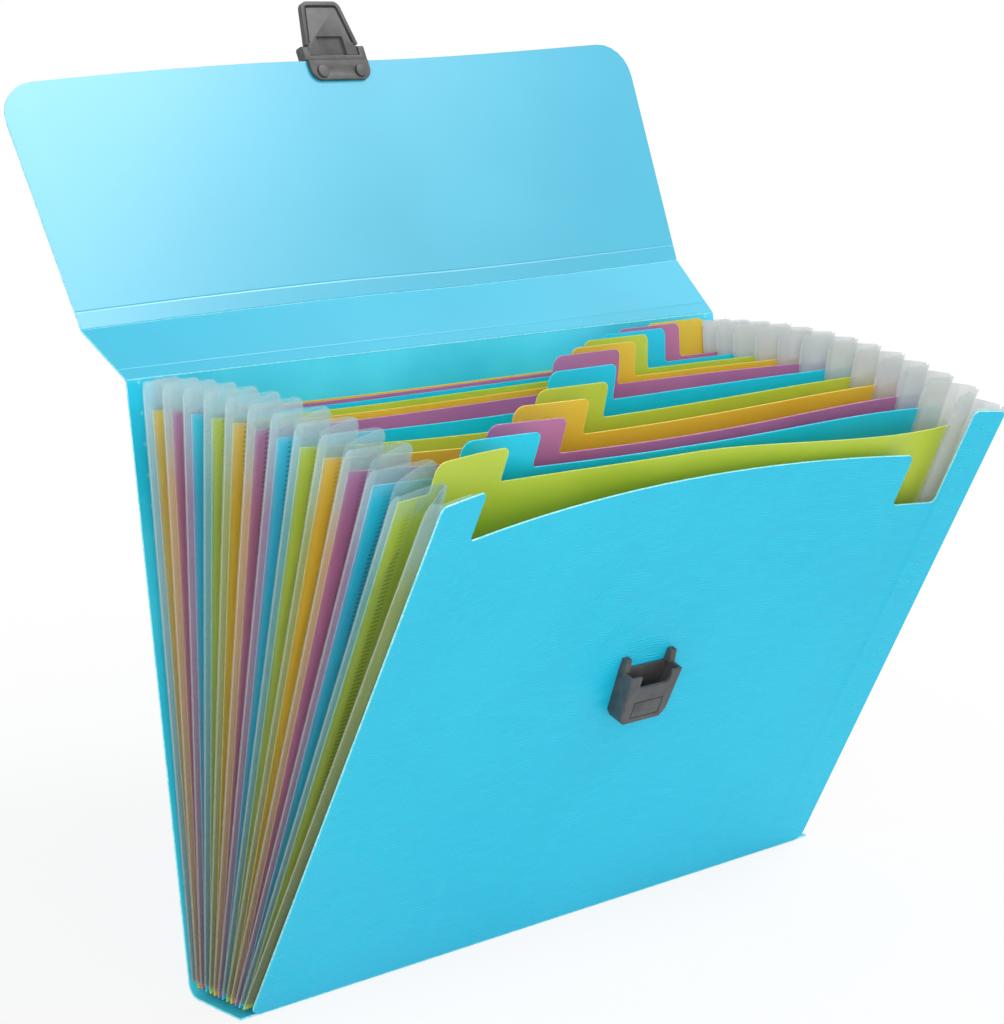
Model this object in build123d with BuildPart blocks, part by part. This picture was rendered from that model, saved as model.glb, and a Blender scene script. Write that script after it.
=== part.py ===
from build123d import *
import os
from math import cos, radians, sin, tan

# An accordion file folder, standing open. The origin is the middle of the base's underside,
# x runs along the folds, y to the back and z up. Lengths are in millimetres, angles in degrees.

# Cover sheet: one sheet creased into base, back, front, spine and flap
cover_width = 330.0
cover_thickness = 0.8
back_height = 231.0
front_height = 227.6
front_side_margin = 4.75
base_depth = 29.0
spine_depth = 31.0
flap_length = 103.0
crease_clearance = 0.15
flap_corner_radius = 16.0
front_foot_radius = 4.0

# Lean of each sheet from upright as the folder stands open, backward positive
back_lean = 11.0
front_lean = -19.5
last_divider_lean = -16.0
spine_lean = 55.0
flap_lean = 28.0

# Top edge of the front panel: a horn at each end, a low arch between, a slot beside the right horn
left_horn_width = 24.6
right_horn_width = 17.0
horn_rise = 20.4
edge_arch = 2.0
slot_width = 24.7
slot_depth = 24.0
notch_radius = 2.5

# Dividers, counted from the back, with one index tab each
divider_count = 12
divider_side_margin = 3.0
divider_thickness = 0.4
divider_foot = 3.0
divider_top = 216.0
tab_width = 38.0
tab_height = 14.5
tab_side_margin = 25.0
tab_last_margin = 16.0
tab_left_radius = 6.0
tab_right_radius = 3.0
tab_foot_radius = 1.5

# Gussets: pleated sheets between the side edges of the cover
gusset_thickness = 0.3
gusset_depth = 25.0
gusset_foot = 6.0
gusset_top = 228.5
front_strip_width = 16.5
fold_width = 1.0
weld_clearance = 0.05
fold_clearance = 0.05
# Where an outer fold lies between two sheets, counted from the rear one; the last fold is at the front panel
outer_fold_share = 0.88
front_fold_share = 0.8

# Latch on the flap's edge
latch_plate_width = 33.2
latch_overlap = 9.0
latch_edge_gap = 0.3
outer_plate_thickness = 1.6
inner_plate_thickness = 1.4
plate_corner_radius = 5.5
plate_edge_radius = 0.4
crossbar_height = 2.0
bracket_width = 34.2
bracket_rise = 0.9
ear_width = 3.2
ear_reach = 2.4
ear_radius = 1.0
pin_reach = 4.2
pin_offset = 2.0
pin_radius = 0.7
pin_clearance = 0.05
hinge_gap = 0.4
barrel_radius = 1.5
barrel_width = 27.0
tray_gap = 0.6
tongue_foot_width = 29.0
tongue_tip_width = 20.6
tongue_reach = 26.6
tongue_thickness = 2.3
tongue_floor = 1.0
tongue_rim = 1.8
tongue_corner_radius = 3.8
tongue_groove = 0.9
tongue_pad_height = 0.8
tongue_pad_radius = 1.2
recess_width = 14.5
recess_reach = 6.8
recess_depth = 1.3

# Catch on the front panel: a pocket open at the top
catch_level = 103.0
catch_height = 22.0
catch_depth = 8.2
catch_top_width = 29.2
catch_waist_width = 26.2
catch_foot_width = 20.6
catch_waist_rise = 3.5
catch_wall = 1.2
catch_edge_radius = 0.9
prong_width = 3.2
prong_rise = 5.2
prong_depth = 2.4
prong_foot_depth = 3.4
thumb_cut_width = 17.4
thumb_cut_depth = 5.2
thumb_cut_radius = 1.8
frame_line_width = 0.5
frame_line_depth = 0.3
frame_width = 16.6
frame_height = 7.6
frame_level = 2.6
backing_width = 24.0
backing_height = 16.0
backing_thickness = 0.8
backing_radius = 3.0

# Rivets of the latch and the catch
rivet_radius = 1.5
rivet_clearance = 0.05
rivet_head_radius = 2.8
rivet_head_height = 0.8
low_head_height = 0.5
latch_rivet_spacing = 21.0
latch_rivet_inset = 5.2
catch_rivet_spacing = 13.0
# One overrun serves every cut
overrun = 1.0

# Values worked out from the sizes above
pocket_count = divider_count + 1
half_width = cover_width / 2
front_half = half_width - front_side_margin
half_sheet = cover_thickness / 2
divider_width = cover_width - 2 * divider_side_margin
crease_level = half_sheet
sheet_start = half_sheet + crease_clearance
pocket_step = base_depth / pocket_count
lean_step = (back_lean - last_divider_lean) / divider_count
inner_fold = half_width - gusset_depth
leaf_bend = divider_width / 2 + fold_width


def sheet_plane(depth, level, lean):
    """Plane of a leaning sheet: x along its foot, y up the sheet, z square to it and to the front."""
    slope = radians(lean)
    return Plane(origin=(0, depth, level), x_dir=(1, 0, 0), z_dir=(0, -cos(slope), sin(slope)))


def fan_lean(place):
    """Lean of the sheet at this place in the fan: 0 is the back panel, pocket_count the front one."""
    if place == pocket_count:
        return front_lean
    return back_lean - lean_step * place


def fan_plane(place):
    """Plane of the sheet at this place in the fan."""
    return sheet_plane(base_depth / 2 - pocket_step * place, crease_level, fan_lean(place))


def beyond(sheet, length, lean):
    """Plane of the panel that is creased to this one at this length up it."""
    crease = sheet.origin + sheet.y_dir * length
    return sheet_plane(crease.Y, crease.Z, lean)


def section_plane(sheet):
    """Plane across a sheet, seen along its foot: x up the sheet, y to its front."""
    return Plane(origin=sheet.origin, x_dir=sheet.y_dir, z_dir=sheet.x_dir)


def level_plane(sheet, level):
    """Plane square to a sheet at this height up it: x along its foot, y to its rear."""
    return Plane(origin=sheet.origin + sheet.y_dir * level, x_dir=sheet.x_dir, z_dir=sheet.y_dir)


back_plane = fan_plane(0)
front_plane = fan_plane(pocket_count)
spine_plane = beyond(back_plane, back_height, spine_lean)
flap_plane = beyond(spine_plane, spine_depth, flap_lean)

os.makedirs("parts", exist_ok=True)


def keep(part, name):
    """Label one finished piece and write it to its own file."""
    part.label = name
    export_step(part, f"parts/{name}.step")


def rivet_places(spacing, level):
    """Places of a pair of rivets, side by side at this height up a sheet."""
    return Locations((-spacing / 2, level), (spacing / 2, level))


# Base strip, with a round edge along each crease
base_section = Plane(origin=(0, 0, crease_level), x_dir=(0, 1, 0), z_dir=(1, 0, 0))
with BuildPart() as base_strip:
    with BuildSketch(base_section):
        SlotCenterToCenter(base_depth, cover_thickness)
    extrude(amount=half_width, both=True)
keep(base_strip.part, "base_strip")


# Back panel and spine strip: plain sheets with a round edge at their upper crease
def creased_sheet(sheet, length):
    """A plain panel from just above its lower crease to the round edge at its upper one."""
    with BuildPart() as panel:
        with BuildSketch(section_plane(sheet)):
            with Locations(((sheet_start + length) / 2, 0)):
                Rectangle(length - sheet_start, cover_thickness)
            with Locations((length, 0)):
                Circle(half_sheet)
        extrude(amount=half_width, both=True)
    return panel.part


keep(creased_sheet(back_plane, back_height), "back_panel")
keep(creased_sheet(spine_plane, spine_depth), "spine_strip")

# Flap, with round free corners and the holes for the latch
latch_rivet_level = flap_length - latch_rivet_inset
with BuildPart() as flap:
    with BuildSketch(flap_plane):
        with Locations((0, (sheet_start + flap_length) / 2)):
            Rectangle(cover_width, flap_length - sheet_start)
        fillet(vertices().group_by(Axis.Y)[-1], flap_corner_radius)
        with rivet_places(latch_rivet_spacing, latch_rivet_level):
            Circle(rivet_radius + rivet_clearance, mode=Mode.SUBTRACT)
    extrude(amount=half_sheet, both=True)
keep(flap.part, "flap")

# Front panel, with the horns, the arched edge, the slot and the holes for the catch
edge_level = front_height - horn_rise
slot_level = edge_level - slot_depth
left_horn = left_horn_width - front_half
right_horn = front_half - right_horn_width
slot_left = right_horn - slot_width
edge_middle = (left_horn + slot_left) / 2
catch_rivet_level = catch_level + catch_height / 2
with BuildPart() as front_panel:
    with BuildSketch(front_plane):
        with BuildLine():
            Polyline(
                (slot_left, edge_level),
                (slot_left, slot_level),
                (right_horn, slot_level),
                (right_horn, front_height),
                (front_half, front_height),
                (front_half, sheet_start),
                (-front_half, sheet_start),
                (-front_half, front_height),
                (left_horn, front_height),
                (left_horn, edge_level),
            )
            ThreePointArc((left_horn, edge_level), (edge_middle, edge_level + edge_arch), (slot_left, edge_level))
        make_face()
        outline = vertices().group_by(Axis.Y)
        fillet(outline[0], front_foot_radius)
        fillet([corner for row in outline[1:] for corner in row], notch_radius)
        with rivet_places(catch_rivet_spacing, catch_rivet_level):
            Circle(rivet_radius + rivet_clearance, mode=Mode.SUBTRACT)
    extrude(amount=half_sheet, both=True)
keep(front_panel.part, "front_panel")

# Dividers: the tabs step from the left on the front one to the right on the rear one
tab_first = -divider_width / 2 + tab_side_margin + tab_width / 2
tab_last = divider_width / 2 - tab_last_margin - tab_width / 2
tab_step = (tab_last - tab_first) / (divider_count - 1)
for number in range(1, divider_count + 1):
    with BuildPart() as divider:
        with BuildSketch(fan_plane(number)):
            with Locations((0, (divider_foot + divider_top) / 2)):
                Rectangle(divider_width, divider_top - divider_foot)
            with Locations((tab_first + tab_step * (divider_count - number), divider_top + tab_height / 2)):
                Rectangle(tab_width, tab_height)
            fillet(vertices().group_by(Axis.Y)[-1].sort_by(Axis.X)[0], tab_left_radius)
            fillet(vertices().group_by(Axis.Y)[-1].sort_by(Axis.X)[-1], tab_right_radius)
            fillet(vertices().group_by(Axis.Y)[1].sort_by(Axis.X)[1:-1], tab_foot_radius)
        extrude(amount=divider_thickness / 2, both=True)
    keep(divider.part, f"divider_{number:02d}")


# Gussets: one pleat for each pocket, welded to the sheet behind the pocket
def pocket_gap(place, level):
    """Distance from the sheet at this place to the next one in front, square to it, at this height."""
    lean = radians(fan_lean(place))
    spread = lean - radians(fan_lean(place + 1))
    return pocket_step * cos(lean) + (level + pocket_step * sin(lean)) * tan(spread)


def pleat_outline(place, side, level):
    """Section of a pleat: the welded leaf, the inner fold and the free leaf, as (across, to the rear)."""
    half = gusset_thickness / 2
    carrier = cover_thickness if place == 0 else divider_thickness
    seat = carrier / 2 + weld_clearance + half
    rear = seat
    if place > 0:
        rear = (outer_fold_share - 1) * pocket_gap(place - 1, level) + fold_clearance + half
    share = front_fold_share if place == divider_count else outer_fold_share
    front = share * pocket_gap(place, level) - fold_clearance - half
    points = [
        (half_width, rear - half),
        (leaf_bend, seat - half),
        (inner_fold, seat - half),
        (inner_fold, seat + half + gusset_thickness),
        (half_width, front + half),
        (half_width, front - half),
        (inner_fold + fold_width, seat + half),
        (leaf_bend, seat + half),
        (half_width, rear + half),
    ]
    return [(side * across, -forward) for across, forward in points]


def strip_outline(place, side, level):
    """Section of the end strip: the leaf welded inside the front panel and its flank to the last outer fold."""
    half = gusset_thickness / 2
    seat = half_sheet + weld_clearance + half
    rear = (1 - front_fold_share) * pocket_gap(place - 1, level) - fold_clearance - half
    points = [
        (front_half - front_strip_width, seat - half),
        (front_half, seat - half),
        (half_width, rear - half),
        (half_width, rear + half),
        (front_half, seat + half),
        (front_half - front_strip_width, seat + half),
    ]
    return [(side * across, behind) for across, behind in points]


def gusset_piece(outline, place, side):
    """One piece of a gusset with this section, from the gusset's foot to its top."""
    sheet = fan_plane(place)
    with BuildPart() as fold:
        for level in (gusset_foot, gusset_top):
            with BuildSketch(level_plane(sheet, level)):
                with BuildLine():
                    Polyline(*outline(place, side, level), close=True)
                make_face()
        loft(ruled=True)
    return fold.part


for side_name, side in (("left", -1), ("right", 1)):
    for place in range(pocket_count):
        keep(gusset_piece(pleat_outline, place, side), f"gusset_{side_name}_pleat_{place:02d}")
    keep(gusset_piece(strip_outline, pocket_count, side), f"gusset_{side_name}_front_strip")

# Latch, outer plate: a plate outside the flap with a crossbar and two ears past its edge
latch_foot = flap_length - latch_overlap
bracket_foot = flap_length + latch_edge_gap
bracket_top = bracket_foot + crossbar_height
pin_level = flap_length + pin_reach
ear_top = pin_level + ear_reach
bracket_rear = -pin_offset - barrel_radius
ear_middle = (bracket_width - ear_width) / 2
with BuildPart() as latch_outer_plate:
    with BuildSketch(flap_plane.offset(-half_sheet)):
        with Locations((0, (latch_foot + bracket_top) / 2)):
            Rectangle(latch_plate_width, bracket_top - latch_foot)
        fillet(vertices().group_by(Axis.Y)[0], plate_corner_radius)
        with rivet_places(latch_rivet_spacing, latch_rivet_level):
            Circle(rivet_radius + rivet_clearance, mode=Mode.SUBTRACT)
    extrude(amount=-outer_plate_thickness)
    with BuildSketch(flap_plane.offset(bracket_rise)):
        with Locations((0, (bracket_foot + bracket_top) / 2)):
            Rectangle(bracket_width, crossbar_height)
    extrude(amount=-bracket_rise - half_sheet - outer_plate_thickness)
    with BuildSketch(flap_plane.offset(bracket_rise)):
        with Locations((-ear_middle, (bracket_foot + ear_top) / 2), (ear_middle, (bracket_foot + ear_top) / 2)):
            Rectangle(ear_width, ear_top - bracket_foot)
    extrude(amount=bracket_rear - bracket_rise)
    upper = edges().filter_by(Axis.X).group_by(Axis(flap_plane.origin, flap_plane.y_dir))[-1]
    fillet(upper, ear_radius)
    with BuildSketch(section_plane(flap_plane)):
        with Locations((pin_level, -pin_offset)):
            Circle(pin_radius + pin_clearance)
    extrude(amount=half_width, both=True, mode=Mode.SUBTRACT)
keep(latch_outer_plate.part, "latch_outer_plate")

# Latch, inner plate
with BuildPart() as latch_inner_plate:
    with BuildSketch(flap_plane.offset(half_sheet)):
        with Locations((0, (latch_foot + flap_length) / 2)):
            Rectangle(latch_plate_width, latch_overlap)
        fillet(vertices().group_by(Axis.Y)[0], plate_corner_radius)
        with rivet_places(latch_rivet_spacing, latch_rivet_level):
            Circle(rivet_radius + rivet_clearance, mode=Mode.SUBTRACT)
    extrude(amount=inner_plate_thickness)
    inner_face = faces().sort_by(Axis(flap_plane.origin, flap_plane.z_dir))[-1]
    fillet(inner_face.outer_wire().edges(), plate_edge_radius)
keep(latch_inner_plate.part, "latch_inner_plate")

# Latch rivets: heads on both plates
latch_inner_face = half_sheet + inner_plate_thickness
latch_outer_face = half_sheet + outer_plate_thickness
with BuildPart() as latch_rivets:
    with BuildSketch(flap_plane.offset(-latch_outer_face)):
        with rivet_places(latch_rivet_spacing, latch_rivet_level):
            Circle(rivet_radius)
    extrude(amount=latch_outer_face + latch_inner_face)
    with BuildSketch(flap_plane.offset(latch_inner_face)):
        with rivet_places(latch_rivet_spacing, latch_rivet_level):
            Circle(rivet_head_radius)
    extrude(amount=rivet_head_height)
    with BuildSketch(flap_plane.offset(-latch_outer_face)):
        with rivet_places(latch_rivet_spacing, latch_rivet_level):
            Circle(rivet_head_radius)
    extrude(amount=-low_head_height)
keep(latch_rivets.part, "latch_rivets")

# Latch hinge pin, across both ears
with BuildPart() as latch_hinge_pin:
    with BuildSketch(section_plane(flap_plane)):
        with Locations((pin_level, -pin_offset)):
            Circle(pin_radius)
    extrude(amount=bracket_width / 2, both=True)
keep(latch_hinge_pin.part, "latch_hinge_pin")


# Latch tongue: a tray with a rim, a raised pad inside it, and a neck with a recess above the hinge barrel
def taper_outline(inset, foot, tip):
    """Corners of the tongue's tapered outline, this far inside its sides, from foot to tip."""
    slope = (tongue_foot_width - tongue_tip_width) / 2 / (tongue_tip - tray_foot)
    foot_half = tongue_foot_width / 2 - slope * (foot - tray_foot) - inset
    tip_half = tongue_foot_width / 2 - slope * (tip - tray_foot) - inset
    return [(-foot_half, foot), (foot_half, foot), (tip_half, tip), (-tip_half, tip)]


tray_foot = ear_top + tray_gap
tongue_tip = flap_length + tongue_reach
tongue_rear = bracket_rise - tongue_thickness
pad_inset = tongue_rim + tongue_groove
pad_face = tongue_rear + tongue_floor + tongue_pad_height
neck_foot = bracket_top + hinge_gap
neck_top = tray_foot + overrun
recess_top = pin_level + recess_reach
with BuildPart() as latch_tongue:
    with BuildSketch(flap_plane.offset(tongue_rear)):
        with BuildLine():
            Polyline(*taper_outline(0, tray_foot, tongue_tip), close=True)
        make_face()
        fillet(vertices().group_by(Axis.Y)[-1], tongue_corner_radius)
    extrude(amount=tongue_thickness)
    with BuildSketch(flap_plane.offset(tongue_rear + tongue_floor)):
        with BuildLine():
            Polyline(*taper_outline(tongue_rim, tray_foot - overrun, tongue_tip - tongue_rim), close=True)
        make_face()
        fillet(vertices().group_by(Axis.Y)[-1], tongue_corner_radius - tongue_rim)
    extrude(amount=tongue_thickness, mode=Mode.SUBTRACT)
    with BuildSketch(flap_plane.offset(tongue_rear + tongue_floor)):
        with BuildLine():
            Polyline(*taper_outline(pad_inset, tray_foot, tongue_tip - pad_inset), close=True)
        make_face()
        fillet(vertices().group_by(Axis.Y)[-1], tongue_pad_radius)
    extrude(amount=tongue_pad_height)
    with BuildSketch(flap_plane.offset(tongue_rear)):
        with Locations((0, (neck_foot + neck_top) / 2)):
            Rectangle(barrel_width, neck_top - neck_foot)
    extrude(amount=pad_face - tongue_rear)
    with BuildSketch(section_plane(flap_plane)):
        with Locations((pin_level, -pin_offset)):
            Circle(barrel_radius)
    extrude(amount=barrel_width / 2, both=True)
    with BuildSketch(flap_plane.offset(pad_face)):
        with Locations((0, (neck_foot - overrun + recess_top) / 2)):
            Rectangle(recess_width, recess_top - neck_foot + overrun)
    extrude(amount=-recess_depth, mode=Mode.SUBTRACT)
    with BuildSketch(section_plane(flap_plane)):
        with Locations((pin_level, -pin_offset)):
            Circle(pin_radius + pin_clearance)
    extrude(amount=half_width, both=True, mode=Mode.SUBTRACT)
keep(latch_tongue.part, "latch_tongue")

# Catch body: a tapered pocket with a thumb cut, two prongs and a framed face
catch_top = catch_level + catch_height
catch_waist = catch_level + catch_waist_rise


def pocket_outline(inset):
    """Corners of the catch's outline, this far inside its side and lower walls."""
    foot_half = catch_foot_width / 2 - inset
    waist_half = catch_waist_width / 2 - inset
    top_half = catch_top_width / 2 - inset
    return [
        (-foot_half, catch_level + inset),
        (foot_half, catch_level + inset),
        (waist_half, catch_waist + inset),
        (top_half, catch_top),
        (-top_half, catch_top),
        (-waist_half, catch_waist + inset),
    ]


catch_face = half_sheet + catch_depth
prong_plane = section_plane(front_plane)
with BuildPart() as catch_body:
    with BuildSketch(front_plane.offset(half_sheet)):
        with BuildLine():
            Polyline(*pocket_outline(0), close=True)
        make_face()
    extrude(amount=catch_depth)
    front_axis = Axis(front_plane.origin, front_plane.z_dir)
    face_edges = faces().sort_by(front_axis)[-1].edges()
    fillet(face_edges.sort_by(Axis(front_plane.origin, front_plane.y_dir))[:-1], catch_edge_radius)
    for prong_side in (-1, 1):
        with BuildSketch(prong_plane.offset(prong_side * catch_top_width / 2)):
            with BuildLine():
                Polyline(
                    (catch_top - overrun, half_sheet),
                    (catch_top + prong_rise, half_sheet),
                    (catch_top + prong_rise, half_sheet + prong_depth),
                    (catch_top, half_sheet + prong_foot_depth),
                    (catch_top - overrun, half_sheet + prong_foot_depth),
                    close=True,
                )
            make_face()
        extrude(amount=-prong_side * prong_width)
    with BuildSketch(front_plane.offset(half_sheet + catch_wall)):
        with BuildLine():
            Polyline(*pocket_outline(catch_wall), close=True)
        make_face()
    extrude(amount=catch_depth - 2 * catch_wall, mode=Mode.SUBTRACT)
    with BuildSketch(front_plane.offset(catch_face - catch_wall - overrun)):
        with Locations((0, catch_top)):
            Rectangle(thumb_cut_width, 2 * thumb_cut_depth)
        fillet(vertices().group_by(Axis.Y)[0], thumb_cut_radius)
    extrude(amount=catch_wall + 2 * overrun, mode=Mode.SUBTRACT)
    with BuildSketch(front_plane.offset(catch_face)):
        with Locations((0, catch_level + frame_level + frame_height / 2)):
            Rectangle(frame_width, frame_height)
            Rectangle(frame_width - 2 * frame_line_width, frame_height - 2 * frame_line_width, mode=Mode.SUBTRACT)
    extrude(amount=-frame_line_depth, mode=Mode.SUBTRACT)
    with BuildSketch(front_plane.offset(half_sheet)):
        with rivet_places(catch_rivet_spacing, catch_rivet_level):
            Circle(rivet_radius + rivet_clearance)
    extrude(amount=catch_wall, mode=Mode.SUBTRACT)
keep(catch_body.part, "catch_body")

# Catch backing plate, inside the front panel
with BuildPart() as catch_backing_plate:
    with BuildSketch(front_plane.offset(-half_sheet)):
        with Locations((0, catch_rivet_level)):
            RectangleRounded(backing_width, backing_height, backing_radius)
        with rivet_places(catch_rivet_spacing, catch_rivet_level):
            Circle(rivet_radius + rivet_clearance, mode=Mode.SUBTRACT)
    extrude(amount=-backing_thickness)
keep(catch_backing_plate.part, "catch_backing_plate")

# Catch rivets: flush with the floor of the pocket, with low heads on the backing plate
backing_face = half_sheet + backing_thickness
with BuildPart() as catch_rivets:
    with BuildSketch(front_plane.offset(-backing_face)):
        with rivet_places(catch_rivet_spacing, catch_rivet_level):
            Circle(rivet_radius)
    extrude(amount=backing_face + half_sheet + catch_wall)
    with BuildSketch(front_plane.offset(-backing_face)):
        with rivet_places(catch_rivet_spacing, catch_rivet_level):
            Circle(rivet_head_radius)
    extrude(amount=-low_head_height)
keep(catch_rivets.part, "catch_rivets")
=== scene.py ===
from math import cos, hypot, pi, radians, sin, sqrt, tan

import bpy
from mathutils import Euler, Matrix, Vector


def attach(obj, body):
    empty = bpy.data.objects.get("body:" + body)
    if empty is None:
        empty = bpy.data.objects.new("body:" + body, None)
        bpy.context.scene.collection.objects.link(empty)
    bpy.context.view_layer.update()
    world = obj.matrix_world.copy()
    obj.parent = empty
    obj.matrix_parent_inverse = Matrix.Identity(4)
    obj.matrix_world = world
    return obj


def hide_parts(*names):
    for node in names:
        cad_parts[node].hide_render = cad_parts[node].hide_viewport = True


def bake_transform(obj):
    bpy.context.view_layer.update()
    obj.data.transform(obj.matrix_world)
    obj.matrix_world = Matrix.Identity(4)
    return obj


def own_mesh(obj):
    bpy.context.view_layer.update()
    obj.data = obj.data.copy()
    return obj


# An accordion file folder, standing open. The solids come first, and each piece is laid over its solid.
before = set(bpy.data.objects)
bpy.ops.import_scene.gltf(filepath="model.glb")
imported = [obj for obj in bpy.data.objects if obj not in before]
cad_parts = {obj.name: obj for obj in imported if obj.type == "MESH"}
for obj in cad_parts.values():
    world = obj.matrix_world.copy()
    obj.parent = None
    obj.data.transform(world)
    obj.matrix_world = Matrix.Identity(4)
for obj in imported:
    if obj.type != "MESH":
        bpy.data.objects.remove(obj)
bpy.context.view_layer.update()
mm = 0.001

# Sizes of the cover, as the solids have them
cover_width = 330 * mm
cover_thickness = 0.8 * mm
back_height = 231 * mm
front_height = 227.6 * mm
front_side_margin = 4.75 * mm
base_depth = 29 * mm
spine_depth = 31 * mm
flap_length = 103 * mm
sheet_start = 0.55 * mm
flap_corner_radius = 16 * mm
front_foot_radius = 4 * mm
left_horn_width = 24.6 * mm
right_horn_width = 17 * mm
horn_rise = 20.4 * mm
edge_arch = 2 * mm
slot_width = 24.7 * mm
slot_depth = 24 * mm
notch_radius = 2.5 * mm
back_lean = 11
front_lean = -19.5
last_divider_lean = -16
spine_lean = 55
flap_lean = 28

# Sizes of the dividers and the gussets, as the solids have them
divider_count = 12
divider_width = 324 * mm
divider_thickness = 0.4 * mm
divider_foot = 3 * mm
divider_top = 216 * mm
tab_width = 38 * mm
tab_height = 14.5 * mm
tab_side_margin = 25 * mm
tab_last_margin = 16 * mm
tab_right_radius = 3 * mm
tab_foot_radius = 1.5 * mm
gusset_thickness = 0.3 * mm
gusset_depth = 25 * mm
gusset_foot = 6 * mm
gusset_top = 228.5 * mm
front_strip_width = 16.5 * mm
front_fold_share = 0.8
weld_clearance = 0.05 * mm

# How the open folder flexes, in degrees: the sides of the fan bow forward, the middles of the dividers sway
# back or forward, from the rear one to the front one, the front one bellies at its right, and the spine and
# the flap twist
front_bow = 4.2
divider_bow = 3.8
divider_sway = (-0.5, 1.2, 1.4, 1.6, 1.4, 1.6, -0.7, -2.4, -3.0, -3.8, -3.2, -1.9)
front_belly = 2.5
spine_twist = 7
flap_twist = 5.3

# The belly's curve times this scale peaks at 1, and the twist starts beside the latch and grows by this power
belly_scale = 27 / 4
twist_free_width = 50 * mm
twist_power = 1.4

# How the open dividers sit a little askew: their left ends stand higher, the right ends of those in front of
# drop_start lower, and their tabs lie off the even steps, in millimetres from the rear one to the front one.
# They reach further than the solids, and the left corners of their tabs are tighter
divider_reach = 162.8 * mm
divider_rack = 4.5 * mm
front_drop = 2.5 * mm
drop_start = 9
tab_shifts = (-1.5, -5, -3, -2.5, 0, 1.5, 0.2, -1.5, -3.5, -6.5, -6, -7.5)
tab_left_radius = 4.5 * mm

# How the film of the open gussets lies: each outer fold stands this share of the way to the next sheet, the
# inner folds shift along the pockets, the left film's top rises at the rear and drops at the front, the rear
# pleat starts bare_length along its strip, and a free leaf starts leaf_gap off the welded one
open_fold_share = 0.84
left_fold_shift = 10 * mm
last_fold_shift = 4 * mm
rear_fold_shift = 5 * mm
right_fold_shift = 7 * mm
right_shift_start = 3
right_shift_end = 9
right_end_fold = 1.2 * mm
film_rise = 2.2 * mm
film_drop = 6 * mm
bare_length = 12 * mm
leaf_gap = 1.2 * gusset_thickness

# The film's top is rounded beside its folds, this many times tighter at the outer ones
fold_round = 4 * mm
outer_bluntness = 3
fold_steps = (0.4 * mm, 1.0 * mm, 1.8 * mm, 2.8 * mm, fold_round)

# Details of the cover
corner_reach = 5 * mm
crease_radius = 0.46 * mm
score_width = 1.1 * mm
score_depth = 0.115 * mm
spine_score_level = 6 * mm
flap_score_level = 7.5 * mm

# Fineness of the meshes, and the angles in degrees past which shading or a surface breaks
bend_columns = 24
arc_steps = 10
corner_steps = 6
bead_sides = 16
bead_end_steps = 2
clasp_edge_steps = 3
flat_angle = 1
crisp_angle = 10
soft_angle = 35
clasp_angle = 40
bead_angle = 60
near = 0.02 * mm
merge_distance = 0.001 * mm

# Weld dots in millimetres: places of their columns across the sheet, pitch up it and radius, of which a share
# is full. Then the pitch and the sway of the embossed lines
outside_welds = ((-156.0, 150.0, 156.5), 9.5, 0.9)
inside_welds = ((-159.5, 159.5), 11.5, 1.1)
dot_core = 0.45
emboss_pitch = 1.25
emboss_sway = 5.0

# Zones of a pleat's film in millimetres, each faded in from its first place to its second: along the strip
# from its rear outer fold, then up it
fold_zone = (0.5, 0.1)
divider_start_zone = (1.8, 4.2)
divider_end_zone = (26.5, 24.5)
leaf_zone = (25.5, 28.5)
leaf_tint_zone = (12.0, 13.0)
outer_zone = (40.0, 43.0)
dash_start_zone = (7.1, 7.5)
dash_end_zone = (11.0, 10.6)
dash_height_zone = (0.46, 0.26)
dash_pitch = 1.75
beside_zone = (222.0, 215.0)
dense_zone = (226.0, 200.0)
# Painted shade on the film grows from its top down to near its foot
shade_zone = (225.0, 10.0)
lower_zone = (228.0, 185.0)

# Values worked out from the sizes above
pocket_count = divider_count + 1
half_width = cover_width / 2
front_half = half_width - front_side_margin
half_sheet = cover_thickness / 2
divider_end = divider_width / 2
inner_fold = half_width - gusset_depth
edge_level = front_height - horn_rise
slot_level = edge_level - slot_depth
left_horn = left_horn_width - front_half
right_horn = front_half - right_horn_width
slot_left = right_horn - slot_width
rear_length = half_width - divider_reach
leaf_length = gusset_depth
film_length = 2 * leaf_length
flank_length = front_side_margin
strip_start = film_length - flank_length - front_strip_width


# Places on the folded sheets
def upward(lean):
    """Direction up a sheet of this lean, in degrees."""
    return Vector((0, sin(radians(lean)), cos(radians(lean))))


def facing(lean):
    """Direction square to a sheet of this lean, to its front."""
    return Vector((0, -cos(radians(lean)), sin(radians(lean))))


def fan_foot(place):
    """Middle of a sheet's foot at this place in the fan, from 0 at the back to pocket_count at the front."""
    return Vector((0, base_depth / 2 - base_depth * place / pocket_count, half_sheet))


def front_share(place):
    """How far a place lies from the front divider, 0, to the front panel, 1."""
    return max(0, place - divider_count)


def drop_share(place):
    """How far a place lies from where the front dividers start to drop, 0, to the front divider, 1."""
    return max(0, (place - drop_start) / (divider_count - drop_start))


def fan_lean(place):
    """Lean of the flat sheet at this place in the fan."""
    divider_share = min(place, divider_count) / divider_count
    last_spread = (front_lean - last_divider_lean) * front_share(place)
    return back_lean + (last_divider_lean - back_lean) * divider_share + last_spread


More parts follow.
